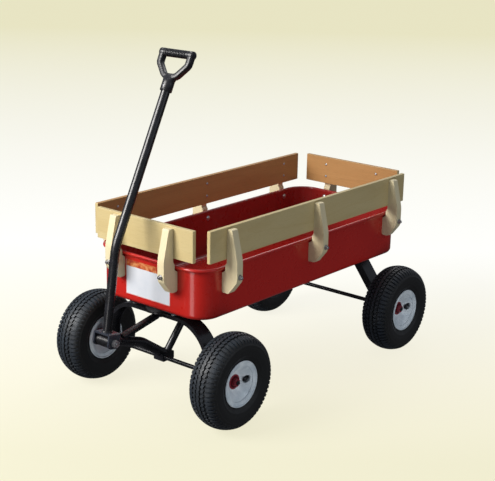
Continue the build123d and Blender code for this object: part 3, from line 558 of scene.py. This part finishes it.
def grip_parts():
    """Lofts of the D-grip in its own frame, in millimetres: X across, Z along the tube."""
    full = list(GRIP_PATH) + [(-x, z, w) for x, z, w in reversed(GRIP_PATH[:-1])]
    rings = []
    for i, (x, z, width) in enumerate(full):
        before, after = full[max(i - 1, 0)], full[min(i + 1, len(full) - 1)]
        run = Vector((after[0] - before[0], 0, after[1] - before[1])).normalized()
        across = Vector((run.z, 0, -run.x))
        ring = []
        for j in range(FRAME_SIDES):
            u, v = rounded(tau * j / FRAME_SIDES, width, FRAME_HALF_DEPTH)
            ring.append(Vector((x, 0, z)) + across * u + Vector((0, v, 0)))
        rings.append(ring)
    yield loft(rings)
    neck = []
    for z, half_x, half_y in NECK:
        power = 1.0 if half_x <= 16.2 else 0.85
        ring = []
        for j in range(FRAME_SIDES):
            u, v = rounded(tau * j / FRAME_SIDES, half_x, half_y, power)
            ring.append(Vector((u, v, z)))
        neck.append(ring)
    yield loft(neck)
    outline = [(-57.8, 5.6), (-57.4, 8.4), (-56.2, 10.3), (-54.6, GRIP_BAR_R), (-40.4, GRIP_BAR_R)]
    start = -RIB_PITCH * RIBS / 2
    for i in range(RIBS):
        left = start + i * RIB_PITCH
        outline += [(left + 0.5, GRIP_BAR_R - 2.2), (left + 2.0, GRIP_BAR_R - 2.2),
                    (left + 2.8, GRIP_BAR_R - 0.4), (left + 3.7, GRIP_BAR_R), (left + 4.6, GRIP_BAR_R - 0.4)]
    outline += [(-x, r) for x, r in reversed(outline[:5])]
    bar = []
    for x, radius in outline:
        ring = []
        for j in range(BAR_SIDES):
            turn = tau * j / BAR_SIDES
            ring.append(Vector((x, radius * cos(turn), GRIP_BAR_AT + radius * sin(turn))))
        bar.append(ring)
    yield loft(bar)


def grip(name, material):
    """The moulded D-grip at the top of the handle."""
    vertices, faces = [], []
    for part_vertices, part_faces in grip_parts():
        start = len(vertices)
        vertices.extend(MM * v for v in part_vertices)
        faces.extend(tuple(start + index for index in face) for face in part_faces)
    piece = mesh_object(name, vertices, faces, material, 50)
    end = tube_end("handle_tube", TUBE_R, UPPER_LEAN)
    piece.data.transform(Matrix.Translation(end) @ Matrix.Rotation(-UPPER_LEAN, 4, "X"))
    return piece


# ---------------------------------------------------------------- weld beads
def bead(name, points, thickness, body, closed=True):
    """A weld along a run of points, with the overlapping scales that a torch leaves."""
    count, sides = len(points), 10
    rings = []
    for i, point in enumerate(points):
        before = points[(i - 1) % count] if closed or i else point
        after = points[(i + 1) % count] if closed or i < count - 1 else point
        run = (after - before).normalized()
        side = run.orthogonal().normalized()
        up = run.cross(side)
        swell = thickness * (0.86 + 0.14 * abs(sin(pi * i / 3)))
        rings.append([point + swell * (side * cos(tau * j / sides) + up * sin(tau * j / sides))
                      for j in range(sides)])
    if closed:
        vertices = [v for ring in rings for v in ring]
        faces = grid_faces(count, sides)
    else:
        vertices, faces = loft(rings)
    piece = mesh_object(name, vertices, faces, BLACK, 60)
    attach(piece, body)
    return piece


def circle_points(centre, normal, radius, count):
    normal = normal.normalized()
    side = normal.orthogonal().normalized()
    up = normal.cross(side)
    return [centre + radius * (side * cos(tau * i / count) + up * sin(tau * i / count)) for i in range(count)]


# ---------------------------------------------------------------- stage, light and camera
CAMERA_AZ = 39.66         # from -Y towards +X
CAMERA_EL = 16.51
CAMERA_ROLL = 1.11
CAMERA_REACH = 3.5193
CAMERA_AIM = Vector((-0.0275, -0.012, 0.0143))   # from the middle of the tray
CAMERA_LENS = 88.2


def direction(azimuth, elevation):
    """Unit vector from the cart towards a compass bearing, measured from -Y towards +X."""
    az, el = radians(azimuth), radians(elevation)
    return Vector((sin(az) * cos(el), -cos(az) * cos(el), sin(el)))


def make_camera(target):
    data = bpy.data.cameras.new("camera")
    data.lens = CAMERA_LENS
    data.sensor_width = 36.0
    camera = bpy.data.objects.new("camera", data)
    towards = direction(CAMERA_AZ, CAMERA_EL)
    camera.location = target + CAMERA_REACH * towards
    facing = (-towards).to_track_quat("-Z", "Y").to_matrix().to_4x4()
    roll = Matrix.Rotation(radians(CAMERA_ROLL), 4, "Z")
    camera.matrix_world = Matrix.Translation(camera.location) @ facing @ roll
    bpy.context.scene.collection.objects.link(camera)
    bpy.context.scene.camera = camera


def area_light(name, azimuth, elevation, reach, size, power, colour, mirrored, target):
    data = bpy.data.lights.new(name, "AREA")
    data.shape = "RECTANGLE"
    data.size, data.size_y = size
    data.energy = power
    data.color = colour
    lamp = bpy.data.objects.new(name, data)
    towards = direction(azimuth, elevation)
    facing = (-towards).to_track_quat("-Z", "Y").to_matrix().to_4x4()
    lamp.matrix_world = Matrix.Translation(target + reach * towards) @ facing
    lamp.visible_camera = False
    lamp.visible_glossy = mirrored
    bpy.context.scene.collection.objects.link(lamp)


def make_stage(target):
    r = Recipe("pale_floor", specular=0.0)
    away = r.band(r.dot(r.place, -direction(CAMERA_AZ, 0)), FLOOR_NEAR, FLOOR_FAR)
    glow = r.ramp(away, [((reach - FLOOR_NEAR) / (FLOOR_FAR - FLOOR_NEAR), colour)
                         for reach, colour in FLOOR_GLOW])
    r.set("Base Color", FLOOR_COLOUR)
    r.set("Roughness", 0.9)
    r.set("Emission Color", glow)
    r.set("Emission Strength", 1.0)
    half = FLOOR_HALF
    corners = [(-half, -half, 0), (half, -half, 0), (half, half, 0), (-half, half, 0)]
    floor = mesh_object("floor", corners, [(0, 1, 2, 3)], r.material)
    floor.visible_diffuse = False
    floor.visible_glossy = False
    floor.visible_shadow = False

    world = bpy.data.worlds.new("studio")
    world.use_nodes = True
    tree = world.node_tree
    backdrop = tree.nodes["Background"]
    coords = tree.nodes.new("ShaderNodeTexCoord")
    split = tree.nodes.new("ShaderNodeSeparateXYZ")
    ramp = tree.nodes.new("ShaderNodeValToRGB")
    lift = tree.nodes.new("ShaderNodeMapRange")
    lift.inputs["From Min"].default_value = -1.0
    tree.links.new(coords.outputs["Generated"], split.inputs[0])
    tree.links.new(split.outputs["Z"], lift.inputs["Value"])
    tree.links.new(lift.outputs["Result"], ramp.inputs["Fac"])
    tree.links.new(ramp.outputs["Color"], backdrop.inputs["Color"])
    ramp.color_ramp.elements[0].position = 0.38
    ramp.color_ramp.elements[0].color = (*WORLD_LOW, 1.0)
    ramp.color_ramp.elements[1].position = 0.62
    ramp.color_ramp.elements[1].color = (*WORLD_HIGH, 1.0)
    backdrop.inputs["Strength"].default_value = 1.0
    bpy.context.scene.world = world
    for lamp in LAMPS:
        area_light(*lamp, target)


# Floor glow: (distance beyond the middle of the cart, away from the camera, and its colour).
FLOOR_NEAR, FLOOR_FAR = -1.0, 10.0
FLOOR_HALF = 40.0
FLOOR_COLOUR = (0.10, 0.10, 0.09)
FLOOR_GLOW = ((-1.0, (0.78, 0.75, 0.54)), (-0.6, (0.79, 0.76, 0.56)), (-0.1, (0.85, 0.82, 0.67)),
              (1.2, (0.93, 0.93, 0.91)), (8.3, (0.78, 0.75, 0.52)), (10.0, (0.78, 0.75, 0.52)))
WORLD_LOW = (0.05, 0.05, 0.055)
WORLD_HIGH = (0.26, 0.28, 0.32)
# Soft lamps: name, bearing, elevation, reach, size, power, colour, is it seen in shiny faces.
LAMPS = (
    ("key", -22, 30, 3.0, (1.5, 1.5), 118, (1.0, 0.975, 0.94), True),
    ("side", 92, 22, 3.2, (1.2, 1.0), 5, (0.88, 0.94, 1.0), True),
    ("bounce", 80, -30, 2.8, (1.6, 0.8), 16, (0.92, 0.96, 1.0), False),
    ("top", 0, 84, 2.8, (1.8, 1.8), 10, (1.0, 0.99, 0.97), True),
    ("corner_card", 3, -15, 2.4, (0.62, 1.0), 6, (1.0, 0.97, 0.95), True),
    ("back", 195, 40, 3.2, (1.6, 1.0), 16, (1.0, 0.98, 0.95), True),
)

# ---------------------------------------------------------------- materials by slot
RING_PITCH = 0.0042
STICKER_STRIP = 0.0165
STICKER_EDGE = 0.0022
TIMBER_MIDDLE = middle("board_right")
CREAM = (0.55, 0.45, 0.23)
STAKE_CREAM = (0.70, 0.62, 0.40)
STAKE_DARK = (0.60, 0.49, 0.28)
CREAM_DARK = (0.46, 0.34, 0.14)
STAIN = (0.47, 0.255, 0.092)
STAIN_DARK = (0.35, 0.17, 0.052)

BLACK = powder_coat("black_powder_coat", (0.006, 0.006, 0.007), (0.014, 0.014, 0.018))
# The fork gets the same black powder coat, painted lighter and bluer: a painted reflection of the light on
# it.
FORK_BLACK_PAINTED_SHEEN = powder_coat("fork_powder_coat_painted_sheen", (0.018, 0.021, 0.030), (0.034, 0.039, 0.052))
# The third colour is painted shade on the tray's faces that look towards its middle.
RED = enamel("red_enamel", (0.42, 0.013, 0.009), (0.46, 0.016, 0.011),
             (0.26, 0.016, 0.014), middle("tray_pan"))
SILVER = painted_steel("rim_silver", (0.94, 0.99, 1.0), (0.52, 0.60, 0.65), metallic=0.12)
HUB_RED = painted_steel("hub_red", (0.26, 0.022, 0.034), (0.17, 0.014, 0.024), roughness=0.3)
ZINC = plated("zinc_plate", (0.50, 0.50, 0.52), roughness=0.30)
BEARING = sealed_steel("bearing_steel", (0.42, 0.42, 0.43), (0.13, 0.012, 0.018))
# Its second colour, the blue-grey tread tint, is partly wear and partly a painted highlight.
TYRE_RUBBER = rubber("tyre_rubber", (0.0120, 0.0122, 0.0118), (0.018, 0.026, 0.037), 0.03)
TUBE_RUBBER = rubber("tube_rubber", (0.015, 0.015, 0.016), (0.03, 0.03, 0.03))
GRIP_PLASTIC = moulded_plastic("grip_plastic", (0.010, 0.010, 0.012), roughness=0.30)
NYLON = moulded_plastic("nylon", (0.012, 0.012, 0.013))

SLOT_LOOKS = {"black_powder_coat": BLACK, "red_paint": RED, "rim_silver": SILVER, "hub_red": HUB_RED,
              "zinc_fasteners": ZINC, "bearing_steel": BEARING, "tyre_rubber": TYRE_RUBBER,
              "tube_rubber": TUBE_RUBBER, "grip_plastic": GRIP_PLASTIC, "nylon": NYLON}


def dress(node, material):
    mesh = frame["nodes"][node].data
    mesh.materials.clear()
    mesh.materials.append(material)


def soften(node, width, angle=40):
    """Breaks the sharp edges of a CAD node with a small bevel."""
    bevel = frame["nodes"][node].modifiers.new("edge", "BEVEL")
    bevel.width = width
    bevel.segments = 2
    bevel.limit_method = "ANGLE"
    bevel.angle_limit = radians(angle)


for entry in frame["record"]["subparts"]:
    look = SLOT_LOOKS.get(entry["material_slot"])
    if look:
        dress(entry["node"], look)

# Each board: axis of the grain, axis through its thickness, its inward normal, is its top stained.
BOARD_LOOKS = {"board_right": (1, 0, (-1, 0, 0), False), "board_left": (1, 0, (1, 0, 0), True),
               "board_front": (0, 1, (0, 1, 0), False), "board_rear": (0, 1, (0, -1, 0), True)}
for seed, (node, (grain, face, inward, stained_top)) in enumerate(BOARD_LOOKS.items()):
    dress(node, timber(f"pine_{node}", grain, face, seed + 1, CREAM, CREAM_DARK, STAIN, STAIN_DARK, inward,
                       stained_top))
stakes = sorted(name for name in frame["nodes"] if name.startswith("stake_") and name != "stake_bolts")
for seed, node in enumerate(stakes):
    along_side = node.startswith(("stake_right", "stake_left"))
    dress(node, timber(f"pine_{node}", 2, 1 if along_side else 0, seed + 7, STAKE_CREAM, STAKE_DARK))
    soften(node, 0.0012)
for node in ("front_axle_nuts", "rear_axle_nuts"):
    dress(node, HUB_RED)
# Painted reflection: the fork is dressed in the lighter, bluer copy of the black powder coat.
dress("handle_fork", FORK_BLACK_PAINTED_SHEEN)
dress("front_label", sticker("plain_sticker", *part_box("front_label")))
for node in ("front_arch", "rear_arch", "turntable_upper_plate", "turntable_lower_plate", "handle_fork",
             "axle_bracket"):
    soften(node, 0.0015)

# ---------------------------------------------------------------- pieces that replace CAD nodes
for axle in AXLES:
    for side, sign in SIDES.items():
        wheel = f"{axle}_{side}"
        centre = middle(f"tyre_{wheel}")
        piece = tyre(f"treaded_tyre_{wheel}", centre, sign, 0.13 * sign + 0.3 * (axle == "rear"), TYRE_RUBBER)
        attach(piece, f"wheel_{wheel}")
        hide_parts(f"tyre_{wheel}")
        wheel_rim = rim(f"pressed_rim_{wheel}", centre, sign, SILVER)
        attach(wheel_rim, f"wheel_{wheel}")
        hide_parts(f"rim_{wheel}")
        cap = valve_cap(f"valve_cap_{wheel}", centre, sign, GRIP_PLASTIC)
        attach(cap, f"wheel_{wheel}")

d_grip = grip("ribbed_d_grip", GRIP_PLASTIC)
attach(d_grip, "handle")
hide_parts("handle_grip")

bolt = middle("handle_pivot_bolt")
lower_run = Vector((0, sin(LOWER_LEAN), cos(LOWER_LEAN)))
tube_foot = Vector((0, bolt.y, bolt.z)) + FORK_CROWN * lower_run
bead("weld_handle_fork", circle_points(tube_foot, lower_run, TUBE_R + 0.0008, 60), 0.0022, "handle")

# ---------------------------------------------------------------- camera, light and view transform
tray_middle = middle("tray_pan")
make_stage(tray_middle)
make_camera(tray_middle + CAMERA_AIM)
bpy.context.scene.view_settings.view_transform = "Standard"
